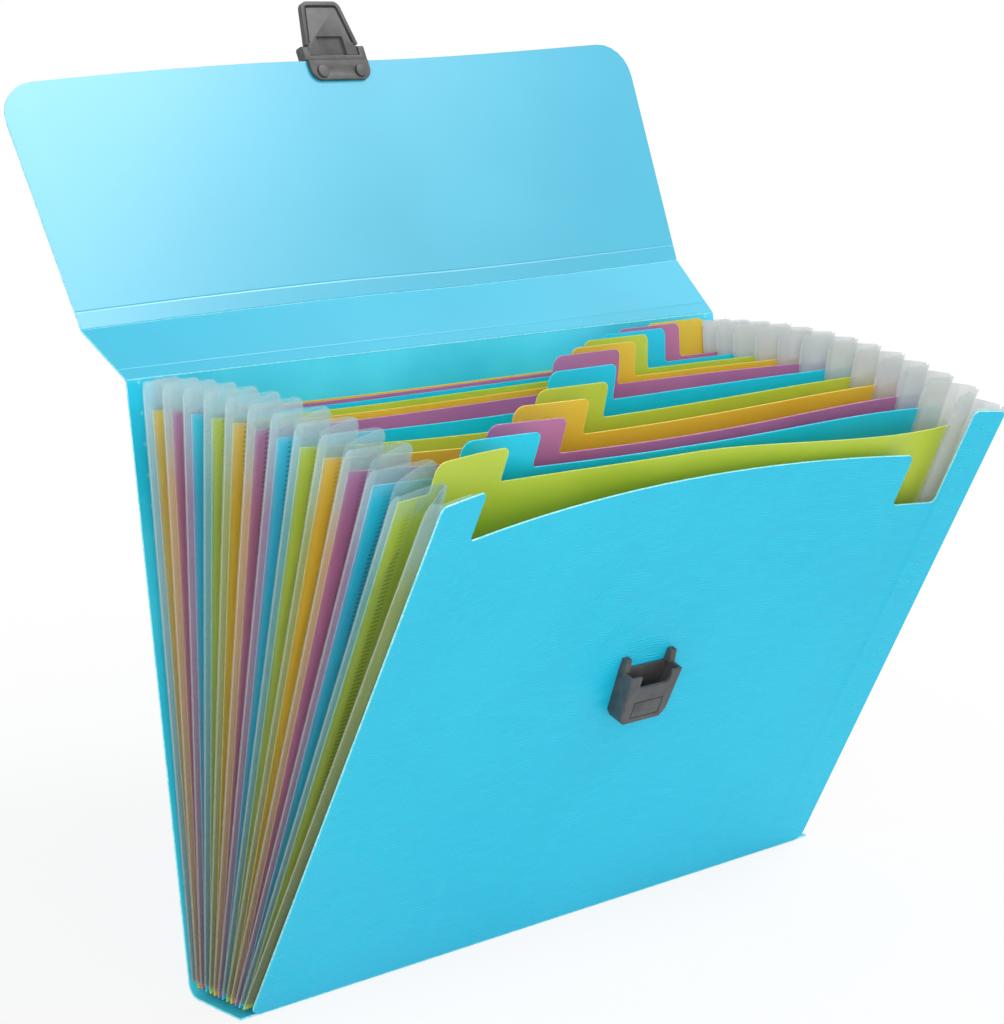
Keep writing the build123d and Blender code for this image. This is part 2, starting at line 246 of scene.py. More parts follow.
def fan_flex(place, across):
    """Lean that the flex of the open fan adds at this place and this far across."""
    divider_share = min(place, divider_count) / divider_count
    reach = abs(across) / half_width
    divider_lift = divider_bow * divider_share ** 2 * reach ** 4
    bow = divider_lift + (front_bow * reach ** 2 - divider_lift) * front_share(place)
    sways = (0, *divider_sway, 0)
    behind = int(place)
    ahead = min(behind + 1, pocket_count)
    sway = sways[behind] + (sways[ahead] - sways[behind]) * (place - behind)
    right_share = max(0, across) / divider_end
    belly = belly_scale * right_share ** 2 * max(0, 1 - right_share) * max(0, 1 - abs(place - divider_count))
    middle_share = max(0, 1 - (across / divider_end) ** 2)
    return sway * middle_share - bow - front_belly * belly


def fan_point(place, across, up, off=0):
    """A point of the fan: this far along the foot, up the sheet and off its front."""
    lean = fan_lean(place) + fan_flex(place, across)
    return fan_foot(place) + Vector((across, 0, 0)) + upward(lean) * up + facing(lean) * off


back_crease = fan_foot(0) + upward(back_lean) * back_height


def twist_share(across):
    """Share of the twist here: 1 at the left end, -1 at the right end, 0 beside the latch."""
    reach = max(0, abs(across) - twist_free_width / 2) / (half_width - twist_free_width / 2)
    return reach ** twist_power * (1 if across < 0 else -1)


def spine_point(across, up, off=0):
    """A point of the twisted spine strip: its left leans back and its right comes forward."""
    lean = spine_lean + spine_twist * twist_share(across)
    return back_crease + Vector((across, 0, 0)) + upward(lean) * up + facing(lean) * off


def flap_point(across, up, off=0):
    """A point of the flap, which twists on from the spine."""
    lean = flap_lean + flap_twist * twist_share(across)
    return spine_point(across, spine_depth) + upward(lean) * up + facing(lean) * off


# Modelling steps that every sheet shares
def open_piece(piece, mode):
    """Select only this piece and edit its vertices or faces."""
    bpy.ops.object.select_all(action="DESELECT")
    piece.select_set(True)
    bpy.context.view_layer.objects.active = piece
    bpy.context.tool_settings.mesh_select_mode = (mode == "VERT", False, mode == "FACE")
    bpy.ops.object.mode_set(mode="EDIT")


def close_piece():
    """Leave edit mode."""
    bpy.ops.object.mode_set(mode="OBJECT")


def select_points(piece, test):
    """Select the vertices of a closed piece that pass a test of their place."""
    mesh = piece.data
    mesh.polygons.foreach_set("select", [False] * len(mesh.polygons))
    mesh.edges.foreach_set("select", [False] * len(mesh.edges))
    mesh.vertices.foreach_set("select", [bool(test(point.co)) for point in mesh.vertices])


def select_faces(piece, test):
    """Select the faces of a closed piece that pass a test of their middle."""
    mesh = piece.data
    mesh.vertices.foreach_set("select", [False] * len(mesh.vertices))
    mesh.edges.foreach_set("select", [False] * len(mesh.edges))
    mesh.polygons.foreach_set("select", [bool(test(face.center)) for face in mesh.polygons])


def flat_sheet(name, left, right, foot, top):
    """A flat sheet, drawn with x along the folds and y up the sheet."""
    bpy.ops.object.select_all(action="DESELECT")
    bpy.ops.mesh.primitive_plane_add(size=1, location=((left + right) / 2, (foot + top) / 2, 0))
    sheet = bpy.context.object
    sheet.name = name
    sheet.data.name = name
    sheet.scale = (right - left, top - foot, 1)
    bpy.ops.object.transform_apply(location=True, rotation=True, scale=True)
    return sheet


def cut_lines(sheet, across=(), up=()):
    """Cut a flat sheet along lines up it, at these places across, and lines across it, at these heights."""
    open_piece(sheet, "FACE")
    for place in across:
        bpy.ops.mesh.select_all(action="SELECT")
        bpy.ops.mesh.bisect(plane_co=(place, 0, 0), plane_no=(1, 0, 0))
    for level in up:
        bpy.ops.mesh.select_all(action="SELECT")
        bpy.ops.mesh.bisect(plane_co=(0, level, 0), plane_no=(0, 1, 0))
    close_piece()


def cut_away(sheet, across, up, waste):
    """Cut a flat sheet along these lines, drop the cells that are waste, and join the rest into one face."""
    cut_lines(sheet, across, up)
    select_faces(sheet, lambda middle: waste(middle.x, middle.y))
    open_piece(sheet, "FACE")
    bpy.ops.mesh.delete(type="FACE")
    bpy.ops.mesh.select_all(action="SELECT")
    bpy.ops.mesh.dissolve_limited(angle_limit=radians(flat_angle))
    close_piece()


def round_corners(sheet, corners, radius):
    """Round the corners of a flat sheet at these places."""
    select_points(sheet, lambda co: any(hypot(co.x - x, co.y - y) < near for x, y in corners))
    open_piece(sheet, "VERT")
    bpy.ops.mesh.bevel(offset=radius, segments=corner_steps, affect="VERTICES", profile=0.5)
    close_piece()


def columns(left, right, count):
    """Places of the lines that let a sheet bend between its two ends."""
    return [left + (right - left) * step / count for step in range(1, count)]


def lay(sheet, law):
    """Keep each point's place on the flat sheet as its map, then bend the sheet by a law of that place."""
    mesh = sheet.data
    if not mesh.uv_layers:
        mesh.uv_layers.new(name="flat")
    flat = mesh.uv_layers.active.data
    for loop in mesh.loops:
        flat[loop.index].uv = mesh.vertices[loop.vertex_index].co.xy
    for point in mesh.vertices:
        point.co = law(point.co.x, point.co.y)
    mesh.update()


def apply_all(piece):
    """Apply the modifiers of a piece in their order."""
    bpy.ops.object.select_all(action="DESELECT")
    piece.select_set(True)
    bpy.context.view_layer.objects.active = piece
    for modifier in list(piece.modifiers):
        bpy.ops.object.modifier_apply(modifier=modifier.name)


def thicken(sheet, thickness, finishes, smooth_angle=soft_angle):
    """Give a bent sheet its thickness: finishes of its front, its rear and its cut edge."""
    for finish in finishes:
        sheet.data.materials.append(finish)
    wall = sheet.modifiers.new("wall", "SOLIDIFY")
    wall.thickness = thickness
    wall.offset = 0
    wall.use_even_offset = True
    wall.material_offset = min(1, len(finishes) - 1)
    wall.material_offset_rim = min(2, len(finishes) - 1)
    apply_all(sheet)
    bpy.ops.object.shade_smooth_by_angle(angle=radians(smooth_angle))
    return sheet


# Finishes
class Value:
    """A shader socket that can be added to, taken from, multiplied and divided."""

    def __init__(self, tree, socket=None):
        self.tree = tree
        self.socket = socket

    def node(self, kind, settings=None, sockets=None, output=0):
        """Add a node: its settings first, then the values or links of its sockets."""
        node = self.tree.nodes.new(kind)
        for name, setting in (settings or {}).items():
            setattr(node, name, setting)
        for name, value in (sockets or {}).items():
            if isinstance(value, Value):
                self.tree.links.new(value.socket, node.inputs[name])
            else:
                node.inputs[name].default_value = value
        return Value(self.tree, node.outputs[output])

    def other(self, output):
        """Another output of the same node."""
        return Value(self.tree, self.socket.node.outputs[output])

    def math(self, operation, *values):
        """A Math node on these values."""
        return self.node("ShaderNodeMath", {"operation": operation}, dict(enumerate(values)))

    def __add__(self, value):
        return self.math("ADD", self, value)

    def __sub__(self, value):
        return self.math("SUBTRACT", self, value)

    def __mul__(self, value):
        return self.math("MULTIPLY", self, value)

    def __truediv__(self, value):
        return self.math("DIVIDE", self, value)

    def __rsub__(self, value):
        return self.math("SUBTRACT", value, self)

    def __rtruediv__(self, value):
        return self.math("DIVIDE", value, self)

    __radd__ = __add__
    __rmul__ = __mul__

    def band(self, low, high):
        """0 below low, 1 above high, smooth between; low above high turns it round."""
        ramp = {"interpolation_type": "SMOOTHSTEP"}
        return self.node("ShaderNodeMapRange", ramp, {"Value": self, "From Min": low, "From Max": high})

    def tint(self, first, second):
        """The first colour where this value is 0, the second where it is 1."""
        return self.node("ShaderNodeMix", {"data_type": "RGBA"}, {0: self, 6: first, 7: second}, 2)


def paint(red, green, blue):
    """A colour as it looks on a screen, 0 to 255, as the shader takes it."""
    shares = [level / 255 for level in (red, green, blue)]
    return (*[s / 12.92 if s <= 0.04045 else ((s + 0.055) / 1.055) ** 2.4 for s in shares], 1)


def new_finish(name, **constants):
    """A new finish, the start of its node tree and its shader, with these sockets set to constants."""
    material = bpy.data.materials.new(name)
    material.use_nodes = True
    shader = material.node_tree.nodes["Principled BSDF"]
    for socket, value in constants.items():
        shader.inputs[socket.replace("_", " ")].default_value = value
    return material, Value(material.node_tree), shader


def feed(shader, socket, value):
    """Let a value that changes over the surface feed this socket of the shader."""
    value.tree.links.new(value.socket, shader.inputs[socket])


def press(start, shader, height, strength, depth):
    """Let a height over the surface press a relief into a finish, this deep in millimetres."""
    sockets = {"Height": height, "Strength": strength, "Distance": depth * mm}
    feed(shader, "Normal", start.node("ShaderNodeBump", None, sockets))


def flat_place(start):
    """Place on the flat sheet in millimetres: across and up."""
    flat = start.node("ShaderNodeTexCoord", output="UV")
    split = start.node("ShaderNodeSeparateXYZ", None, {"Vector": flat})
    return split / mm, split.other("Y") / mm


def cloud(start, scale, detail=2.0, stretch=(1, 1, 1)):
    """Soft noise over the piece, 0 to 1, with about this many blotches a metre."""
    place = start.node("ShaderNodeTexCoord", output="Object")
    stretched = start.node("ShaderNodeMapping", None, {"Vector": place, "Scale": stretch})
    return start.node("ShaderNodeTexNoise", None, {"Vector": stretched, "Scale": scale, "Detail": detail})


def dots(across, up, columns_at, pitch, radius):
    """Mask of round weld dots in columns at these places across, at this pitch up them."""
    mask = None
    rise = up.math("WRAP", up, pitch / 2, -pitch / 2)
    for place in columns_at:
        side = across - place
        away = up.math("SQRT", side * side + rise * rise)
        column = away.band(radius, radius * dot_core)
        mask = column if mask is None else mask.math("MAXIMUM", mask, column)
    return mask


cover_blue = paint(18, 194, 226)
cover_deep = paint(10, 188, 221)
cover_pale = paint(130, 226, 240)
# A lighter blue for the embossed lines: a painted highlight on their ridges
cover_line_highlight = paint(36, 204, 234)
# A lighter copy of the cover's blue for its inside faces: painted light that lifts the dark of the deep
# pockets
lit_inside_blue = paint(72, 224, 250)
# Darker copies of the cover's blue for the spine and the flap: painted shade that holds them down under the
# strong high lamp
spine_shaded_blue = paint(6, 180, 212)
spine_shaded_deep = paint(4, 174, 206)
flap_shaded_blue = paint(22, 176, 208)
flap_shaded_deep = paint(16, 170, 202)


def embossed_cover():
    """Outside of the cover: fine wavy lines pressed across it, broken here and there, and weld dots."""
    material, start, shader = new_finish("cover_embossed", Roughness=0.46, Specular_IOR_Level=0.35)
    across, up = flat_place(start)
    sway = cloud(start, 45.0)
    broken = cloud(start, 260.0, 1.0, (0.3, 1, 1))
    phase = (up + sway * emboss_sway) * (2 * pi / emboss_pitch)
    line = up.math("SINE", phase) * 0.5 + 0.5
    emboss = line * broken.band(0.40, 0.60)
    weld = dots(across, up, *outside_welds)
    press(start, shader, emboss * 0.8 + weld * 1.6, 1.0, 0.2)
    blotch = cloud(start, 9.0)
    ground = blotch.band(0.3, 0.7).tint(cover_deep, cover_blue)
    # Painted highlight: the embossed lines are painted lighter; the paler weld dots are the welds' own colour
    highlit_lines_and_welds = (weld * 0.3).tint((emboss * 0.8).tint(ground, cover_line_highlight), cover_pale)
    feed(shader, "Base Color", highlit_lines_and_welds)
    feed(shader, "Roughness", 0.44 + emboss * 0.10)
    return material


def satin_cover(name, deep, blue, roughness, sheen, welds=None):
    """Inside of the cover: smooth satin with faint haze, and weld dots where it has any."""
    material, start, shader = new_finish(
        name, Roughness=roughness, Specular_IOR_Level=sheen, Coat_Weight=sheen / 2, Coat_Roughness=roughness
    )
    haze = cloud(start, 14.0, 3.0)
    ground = haze.band(0.25, 0.75).tint(deep, blue)
    height = cloud(start, 900.0, 1.0)
    if welds:
        weld = dots(*flat_place(start), *welds)
        ground = (weld * 0.6).tint(ground, cover_pale)
        height = height + weld * 3.0
    feed(shader, "Base Color", ground)
    feed(shader, "Roughness", roughness + haze * 0.08)
    press(start, shader, height, 0.12, 0.08)
    return material


def cut_edge(name, ground, pale):
    """Cut edge of a sheet: paler than its faces, with fine knife marks."""
    material, start, shader = new_finish(name, Roughness=0.5)
    marks = cloud(start, 700.0)
    feed(shader, "Base Color", marks.band(0.3, 0.8).tint(ground, pale))
    return material


def divider_finish(name, ground, deep):
    """Face of a divider: smooth tinted sheet, slightly cloudy."""
    material, start, shader = new_finish(name, Roughness=0.38, Subsurface_Weight=0.7, Subsurface_Scale=2 * mm)
    shader.inputs["Subsurface Radius"].default_value = (1, 1, 1)
    haze = cloud(start, 18.0, 3.0)
    feed(shader, "Base Color", haze.band(0.25, 0.75).tint(deep, ground))
    feed(shader, "Roughness", 0.34 + haze * 0.10)
    press(start, shader, cloud(start, 1100.0, 1.0), 0.10, 0.06)
    return material


film_pale = paint(200, 234, 240)
# A painted highlight along the film's folds
film_fold_highlight = paint(240, 244, 242)
film_grey = paint(222, 227, 226)
# Painted shade: the dark colour that the film fades to near its foot, where the pockets close up
film_shade = paint(96, 94, 90)
film_dash = paint(60, 66, 60)
film_tints = {
    "cover": paint(166, 210, 218),
    "orange": paint(226, 194, 150),
    "purple": paint(186, 162, 190),
    "blue": paint(136, 200, 204),
    "green": paint(184, 200, 132),
}


def frosted_film(name, upper, flank, leaf, veil, leaf_veil, shade_share):
    """Gusset film, clear on its divider and frosted elsewhere; what lies behind tints its upper part, its
    flank and its free leaf. The two veils say how dense it is, the share how much painted shade darkens its
    lower part."""
    material, start, shader = new_finish(name, Roughness=0.55, Specular_IOR_Level=0.3)
    along, up = flat_place(start)
    ends = along.math("MINIMUM", along, film_length / mm - along)
    middle = along.math("ABSOLUTE", along - leaf_length / mm)
    fold = along.math("MINIMUM", ends, middle).band(*fold_zone)
    beside = up.band(*beside_zone)
    on_divider = along.band(*divider_start_zone) * along.band(*divider_end_zone) * beside
    haze = cloud(start, 40.0, 3.0)
    free_leaf = along.band(*leaf_zone) * (1 - along.band(*outer_zone))
    top_share = 0.75 + up.band(*dense_zone) * 0.25
    density = (veil + haze * 0.06 + free_leaf * (leaf_veil - veil)) * top_share
    clear = 0.04 + haze * 0.03
    row = up.math("ABSOLUTE", up.math("WRAP", up, dash_pitch / 2, -dash_pitch / 2))
    dash = row.band(*dash_height_zone) * along.band(*dash_start_zone) * along.band(*dash_end_zone) * beside
    film_alpha = density * (1 - on_divider) + clear * on_divider
    tint = along.band(*leaf_tint_zone).tint(flank, leaf)
    # Painted shade: the film darkens towards its foot, by the share given
    tint = (up.band(*shade_zone) * shade_share).tint(tint, film_shade)
    tint = up.band(*lower_zone).tint(upper, tint)
    # Painted highlight: the film is painted whiter beside its folds
    tint = (fold * 0.35).tint(tint, film_fold_highlight)
    feed(shader, "Base Color", dash.tint(tint, film_dash))
    feed(shader, "Alpha", film_alpha + fold * 0.08 + dash * 0.14)
    press(start, shader, cloud(start, 1500.0, 1.0) - dash * 1.5, 0.15, 0.06)
    return material


def film_cut():
    """Cut rim of the film: so thin that it is mostly clear."""
    material, start, shader = new_finish("film_rim", Roughness=0.6, Alpha=0.2, Specular_IOR_Level=0.2)
    feed(shader, "Base Color", cloud(start, 60.0).tint(film_grey, film_pale))
    return material


def moulded_plastic():
    """Latch and catch: dark grey moulded plastic with a fine spark grain."""
    material, start, shader = new_finish("clasp_grey", Roughness=0.45)
    grain = cloud(start, 2600.0)
    rub = cloud(start, 160.0, 3.0)
    feed(shader, "Base Color", rub.band(0.3, 0.75).tint(paint(64, 64, 65), paint(80, 80, 80)))
    feed(shader, "Roughness", 0.40 + grain * 0.14)
    press(start, shader, grain, 0.25, 0.05)
    return material


outside = embossed_cover()
# The inside mixes the cover's blue at random with its lighter copy, which is painted light
inside = satin_cover("cover_satin", cover_blue, lit_inside_blue, roughness=0.4, sheen=0.6, welds=inside_welds)
# Spine and flap take darker copies of the cover's blue: painted shade
spine_inside = satin_cover("spine_satin", spine_shaded_deep, spine_shaded_blue, roughness=0.4, sheen=0.6)
flap_inside = satin_cover("flap_satin", flap_shaded_deep, flap_shaded_blue, roughness=0.36, sheen=1.0)
cover_edge = cut_edge("cover_edge", paint(120, 224, 240), paint(196, 244, 250))
crease_pale = cut_edge("cover_crease", paint(84, 212, 236), paint(134, 226, 242))
film_rim = film_cut()
divider_colours = {
    "orange": (paint(244, 192, 52), paint(236, 180, 42), paint(252, 230, 150)),
    "purple": (paint(184, 112, 158), paint(170, 100, 146), paint(220, 180, 208)),
    "blue": (paint(2, 204, 253), paint(0, 195, 248), paint(150, 232, 250)),
    "green": (paint(194, 208, 56), paint(178, 196, 46), paint(226, 234, 140)),
}
divider_faces = {}
divider_edges = {}
for colour, (ground, deep, pale) in divider_colours.items():
    divider_faces[colour] = divider_finish(f"divider_{colour}", ground, deep)
    divider_edges[colour] = cut_edge(f"divider_{colour}_edge", ground, pale)
clasp = moulded_plastic()


def settle(piece, body, slot, *nodes):
    """Let a finished piece move with its body, and stand for these solids."""
    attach(piece, body)
    if nodes:
        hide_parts(*nodes)


def fold_flat(piece, place):
    """Give a piece of the fan its own copy of its mesh."""
    facing(fan_lean(place))
    fan_foot(place)
    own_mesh(piece)


# Front panel: horns, arched edge and slot, bowed forward at its sides
def front_law(across, up):
    """Place of a point of the front panel, whose upper edge arches between the left horn and the slot."""
    share = (across - left_horn) / (slot_left - left_horn)
    if abs(up - edge_level) < near and 0 < share < 1:
        up += edge_arch * 4 * share * (1 - share)
    return fan_point(pocket_count, across, up)


front = flat_sheet("cover_front", -front_half, front_half, sheet_start, front_height)
cut_away(
    front, (left_horn, slot_left, right_horn), (slot_level, edge_level),
    lambda x, y: left_horn < x < right_horn and (y > edge_level or (x > slot_left and y > slot_level)),
)
round_corners(front, [(-front_half, sheet_start), (front_half, sheet_start)], front_foot_radius)
round_corners(
    front,
    [(slot_left, edge_level), (slot_left, slot_level), (right_horn, slot_level), (left_horn, edge_level)]
    + [(x, front_height) for x in (-front_half, left_horn, right_horn, front_half)],
    notch_radius,
)
cut_lines(front, columns(-front_half, front_half, bend_columns))
lay(front, front_law)
thicken(front, cover_thickness, (outside, inside, cover_edge))
settle(front, "front", "cover_blue", "front_panel")
fold_flat(front, pocket_count)

# Base, and the rounded corner that turns it up into the back panel
corner_turn = radians(90 - back_lean)
corner_radius = corner_reach / tan(corner_turn / 2)
base_end = base_depth - corner_reach


def base_point(across, up):
    """A point of the base, from its front crease."""
    return fan_foot(pocket_count) + Vector((across, up, 0))


def corner_point(across, up):
    """A point of the corner, rolled up from the base."""
    turn = up / corner_radius
    roll = Vector((0, corner_radius * sin(turn), corner_radius * (1 - cos(turn))))
    return base_point(across, base_end) + roll


base = flat_sheet("cover_base", -half_width, half_width, 0, base_end)
lay(base, base_point)
thicken(base, cover_thickness, (inside, outside, cover_edge))
settle(base, "base", "cover_blue", "base_strip")

corner = flat_sheet("cover_corner", -half_width, half_width, 0, corner_radius * corner_turn)
cut_lines(corner, up=columns(0, corner_radius * corner_turn, arc_steps))
lay(corner, corner_point)
thicken(corner, cover_thickness, (inside, outside, cover_edge))
base_point(0, base_end)
fan_point(0, 0, corner_reach)
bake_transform(corner)

# Back panel
back = flat_sheet("cover_back", -half_width, half_width, corner_reach, back_height)
lay(back, lambda across, up: fan_point(0, across, up))
thicken(back, cover_thickness, (inside, outside, cover_edge))
settle(back, "back", "cover_blue", "back_panel")


# Spine and flap, each with a pressed score beside its lower crease
def scored(level, law):
    """A law that presses a fine score across the sheet at this height."""
    def pressed(across, up):
        depth = score_depth if abs(up - level) < near else 0
        return law(across, up, -depth)
    return pressed


def score_lines(level):
    """Heights of the three lines that a score needs."""
    return (level - score_width / 2, level, level + score_width / 2)


def twist_flat(piece):
    """Give a twisted piece its own copy of its mesh."""
    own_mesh(piece)


sheet_columns = columns(-half_width, half_width, bend_columns)
spine = flat_sheet("cover_spine", -half_width, half_width, sheet_start, spine_depth)
cut_lines(spine, sheet_columns, score_lines(spine_score_level))
lay(spine, scored(spine_score_level, spine_point))
thicken(spine, cover_thickness, (spine_inside, outside, cover_edge), crisp_angle)
settle(spine, "spine", "cover_blue", "spine_strip")
twist_flat(spine)

flap = flat_sheet("cover_flap", -half_width, half_width, sheet_start, flap_length)
round_corners(flap, [(-half_width, flap_length), (half_width, flap_length)], flap_corner_radius)
cut_lines(flap, sheet_columns, score_lines(flap_score_level))
lay(flap, scored(flap_score_level, flap_point))
thicken(flap, cover_thickness, (flap_inside, outside, cover_edge), crisp_angle)
settle(flap, "flap", "cover_blue", "flap")
twist_flat(flap)


# Creases: the pale bead that the bent sheet shows along each fold
def crease(name, line, body, half_length, radius):
    """A bead along a fold line, with round ends."""
    bpy.ops.object.select_all(action="DESELECT")
    bpy.ops.mesh.primitive_cylinder_add(
        vertices=bead_sides, radius=radius, depth=2 * half_length,
        location=(0, 0, 0), rotation=(0, radians(90), 0),
    )
    bead = bpy.context.object
    bead.name = name
    bead.data.name = name
    bpy.ops.object.transform_apply(location=True, rotation=True, scale=True)
    select_faces(bead, lambda middle: abs(abs(middle.x) - half_length) < near)
    open_piece(bead, "FACE")
    bpy.ops.mesh.bevel(offset=radius / 2, segments=bead_end_steps, affect="EDGES")
    close_piece()
    cut_lines(bead, sheet_columns)
    for point in bead.data.vertices:
        point.co = line(point.co.x) + Vector((0, point.co.y, point.co.z))
    bead.data.materials.append(crease_pale)
    bpy.ops.object.shade_smooth_by_angle(angle=radians(bead_angle))
    settle(bead, body, "cover_blue")
    return bead


front_bead_half = front_half - front_foot_radius
crease("crease_front", lambda x: fan_point(pocket_count, x, 0), "base", front_bead_half, half_sheet)
crease("crease_back", lambda x: spine_point(x, 0), "back", half_width, crease_radius)
flap_bead = crease("crease_flap", lambda x: spine_point(x, spine_depth), "spine", half_width, crease_radius)
twist_flat(flap_bead)

# Dividers: the tabs step from the left on the front one to the right on the rear one
tab_first = -divider_end + tab_side_margin + tab_width / 2
tab_last = divider_end - tab_last_margin - tab_width / 2
tab_step = (tab_last - tab_first) / (divider_count - 1)
tab_top = divider_top + tab_height
colour_order = ("orange", "purple", "blue", "green")


def racked(number, across, up):
    """Height on a divider: its left end stands a little higher, and the right end of a front one lower. A
    tab's top stays where it is, so that it clears the closed spine."""
    lift = divider_rack * (min(0, across) / half_width) ** 4
    drop = front_drop * drop_share(number) * max(0, across) / half_width
    sheet_share = min(up / divider_top, (tab_top - up) / tab_height)
    return up + (lift - drop) * sheet_share


for number in range(1, divider_count + 1):
    tab_middle = tab_first + tab_step * (divider_count - number) + tab_shifts[number - 1] * mm
    tab_left = tab_middle - tab_width / 2
    tab_right = tab_middle + tab_width / 2
    sheet = flat_sheet(f"divider_sheet_{number:02d}", -divider_reach, divider_reach, divider_foot, tab_top)
    cut_away(
        sheet, (tab_left, tab_right), (divider_top,),
        lambda x, y: y > divider_top and not tab_left < x < tab_right,
    )
    round_corners(sheet, [(tab_left, tab_top)], tab_left_radius)
    round_corners(sheet, [(tab_right, tab_top)], tab_right_radius)
    round_corners(sheet, [(tab_left, divider_top), (tab_right, divider_top)], tab_foot_radius)
    cut_lines(sheet, columns(-divider_reach, divider_reach, bend_columns))
    lay(sheet, lambda across, up: fan_point(number, across, racked(number, across, up)))
    colour = colour_order[(number - 1) % len(colour_order)]
    face = divider_faces[colour]
    thicken(sheet, divider_thickness, (face, face, divider_edges[colour]))
    settle(sheet, f"pocket_{number:02d}", f"divider_{colour}", f"divider_{number:02d}")
    fold_flat(sheet, number)


# Gussets: each pleat is one strip of film, cut flat with round corners at its folds, then folded
def film_top(along, up):
    """Height of the film's upper edge, rounded off beside each fold."""
    outer_away = outer_bluntness * min(abs(along), abs(along - film_length))
    away = min(outer_away, abs(along - leaf_length))
    if up < gusset_top - near or away >= fold_round:
        return up
    return up - fold_round + sqrt(fold_round ** 2 - (fold_round - away) ** 2)


def inner_place(place, side):
    """Distance of a pleat's inner fold from the middle."""
    if side < 0 and place == divider_count:
        return inner_fold - last_fold_shift
    if side < 0:
        return inner_fold - left_fold_shift * (place / divider_count) ** 3
    rear_share = max(0, 1 - place / right_shift_start)
    forward_share = (place - right_shift_start) / (right_shift_end - right_shift_start)
    return inner_fold + rear_fold_shift * rear_share + right_fold_shift * min(1, max(0, forward_share))


def outer_place(place, side):
    """Distance of a pleat's front outer fold from the middle, and its share of the way to the next sheet."""
    if place < divider_count:
        return half_width, open_fold_share
    last_place = half_width if side < 0 else front_half + right_end_fold
    return last_place, front_fold_share


def pleat_law(place, side):
    """Law of a pleat: past its divider's end, along the divider to the inner fold, out to the next fold."""
    carrier = cover_thickness if place == 0 else divider_thickness
    seat = carrier / 2 + weld_clearance + gusset_thickness / 2
    fold_place = inner_place(place, side)
    end_place, end_share = outer_place(place, side)
    rise = 0
    if side < 0:
        rise = film_rise * (1 - place / pocket_count) - film_drop * drop_share(place) ** 2

    def law(along, up):
        level = film_top(along, up) + rise * up / gusset_top
        if along <= leaf_length:
            run = max(0, (along - rear_length) / (leaf_length - rear_length))
            across = half_width - min(along, rear_length) + (fold_place - divider_reach) * run
            bend = 0 if place == 0 else max(0, 1 - along / rear_length)
            share = (open_fold_share - 1) * bend
            off = seat + (gusset_thickness / 2 - seat) * bend
        else:
            run = (along - leaf_length) / leaf_length
            across = fold_place + (end_place - fold_place) * run
            share = end_share * run
            off = (seat + leaf_gap) * (1 - run) - gusset_thickness / 2 * run
        return fan_point(place + share, side * across, level, off)

    return law


def strip_law(side):
    """Law of the end strip: inside the front panel to its side edge, then back to the last outer fold."""
    seat = -half_sheet - weld_clearance - gusset_thickness / 2
    end_place, end_share = outer_place(divider_count, side)

    def law(along, up):
        level = film_top(along, up)
        run = max(0, (along - film_length + flank_length) / flank_length)
        inside_place = min(front_half, front_half - film_length + flank_length + along)
        across = inside_place + (end_place - front_half) * run
        share = (end_share - 1) * run
        off = seat * (1 - run) + gusset_thickness / 2 * run
        return fan_point(pocket_count + share, side * across, level, off)

    return law


def film_piece(name, side, start, law, film):
    """One strip of film from this place along its length to its outer fold, folded by its law."""
    strip = flat_sheet(name, start, film_length, gusset_foot, gusset_top)
    cut_lines(strip, [cut for cut in pleat_cuts if cut > start])
    lay(strip, law)
    if side > 0:
        open_piece(strip, "FACE")
        bpy.ops.mesh.select_all(action="SELECT")
        bpy.ops.mesh.flip_normals()
        close_piece()
    return thicken(strip, gusset_thickness, (film, film, film_rim))


fold_sides = ((0, 1), (leaf_length, -1), (leaf_length, 1), (film_length, -1))
pleat_cuts = sorted(
    {rear_length, leaf_length / 2, leaf_length, leaf_length * 1.5, film_length - flank_length}
    | {fold + direction * step for fold, direction in fold_sides for step in fold_steps}
)
sheet_colours = ["cover", *[colour_order[place % len(colour_order)] for place in range(divider_count)]]
left_films = {}
for behind, here in sorted(set(zip(["cover", *sheet_colours], sheet_colours))):
    tints = (film_pale, film_tints[behind], film_tints[here])
    left_films[behind, here] = frosted_film(
        f"film_{behind}_{here}", *tints, veil=0.27, leaf_veil=0.36, shade_share=0.62
    )
front_tints = (film_pale, film_tints["green"], film_tints["green"])
front_film = frosted_film("film_front", *front_tints, veil=0.16, leaf_veil=0.2, shade_share=0.62)
right_tints = (film_grey, film_grey, film_grey)
right_film = frosted_film("film_right", *right_tints, veil=0.45, leaf_veil=0.62, shade_share=0.1)
for side_name, side in (("left", -1), ("right", 1)):
    for place in range(pocket_count):
        start = bare_length if place == 0 else 0
        colours = (sheet_colours[max(0, place - 1)], sheet_colours[place])
        film = left_films[colours] if side < 0 else right_film
        strip = film_piece(f"film_{side_name}_{place:02d}", side, start, pleat_law(place, side), film)
        body = "back" if place == 0 else f"pocket_{place:02d}"
        settle(strip, body, "gusset_frosted", f"gusset_{side_name}_pleat_{place:02d}")
        fold_flat(strip, place)
    film = front_film if side < 0 else right_film
    strip = film_piece(f"film_{side_name}_front", side, strip_start, strip_law(side), film)
    settle(strip, "front", "gusset_frosted", f"gusset_{side_name}_front_strip")
    fold_flat(strip, pocket_count)


# Latch and catch: the solids with their moulded edges softened
def softened(node, name, width):
    """A copy of a solid, its faces joined again and its edges rounded."""
    piece = bpy.data.objects.new(name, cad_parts[node].data.copy())
    piece.data.name = name
    bpy.context.scene.collection.objects.link(piece)
    piece.data.materials.clear()
    piece.data.materials.append(clasp)
    open_piece(piece, "VERT")
    bpy.ops.mesh.select_all(action="SELECT")
    bpy.ops.mesh.remove_doubles(threshold=merge_distance)
    bpy.ops.mesh.dissolve_limited(angle_limit=radians(flat_angle))
    close_piece()
    edges = piece.modifiers.new("edges", "BEVEL")
    edges.width = width
    edges.segments = clasp_edge_steps
    edges.limit_method = "ANGLE"
    edges.angle_limit = radians(clasp_angle)
    apply_all(piece)
    bpy.ops.object.shade_smooth_by_angle(angle=radians(clasp_angle))
    return piece


